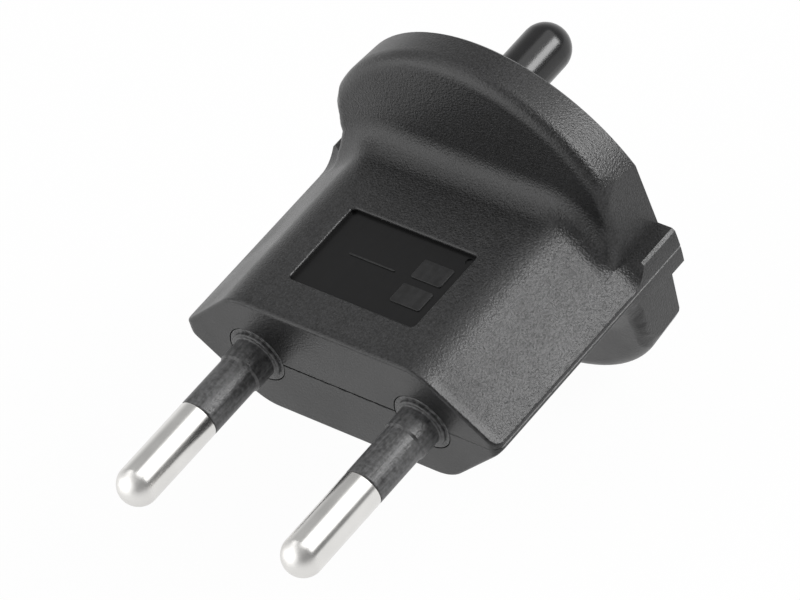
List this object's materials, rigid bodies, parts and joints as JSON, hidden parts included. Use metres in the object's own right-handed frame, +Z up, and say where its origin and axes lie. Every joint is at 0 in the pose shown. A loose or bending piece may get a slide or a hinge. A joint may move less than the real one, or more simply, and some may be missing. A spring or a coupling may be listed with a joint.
{
  "type": "plug adapter",
  "caption": "Flat plug adapter: a hexagonal black body with half-sleeved round pins in front and a round flange behind, framing a socket face with a dummy earth post.",
  "frame": {"origin": "middle of the front face, halfway between the pins, on the line where the shells meet", "axes": "-Y along the pins, +Y out of the socket side, +Z out of the side with the plate, +X to the right when the pins point at the viewer and +Z is up"},
  "size_m": [0.036, 0.056, 0.0368],
  "materials": {
    "shell_plastic": "matte black with a fine moulded grain",
    "socket_plastic": "polished black",
    "sleeve_plastic": "semi-gloss black",
    "pin_nickel": "bright nickel plate",
    "contact_brass": "turned",
    "spring_steel": "plain"
  },
  "bodies": {
    "root": {"upper_shell": "shell_plastic", "lower_shell": "shell_plastic", "socket_face": "socket_plastic", "left_pin": "pin_nickel", "right_pin": "pin_nickel", "left_sleeve": "sleeve_plastic", "right_sleeve": "sleeve_plastic", "left_contact": "contact_brass", "right_contact": "contact_brass", "left_spring": "spring_steel", "right_spring": "spring_steel"}
  },
  "joints": []
}
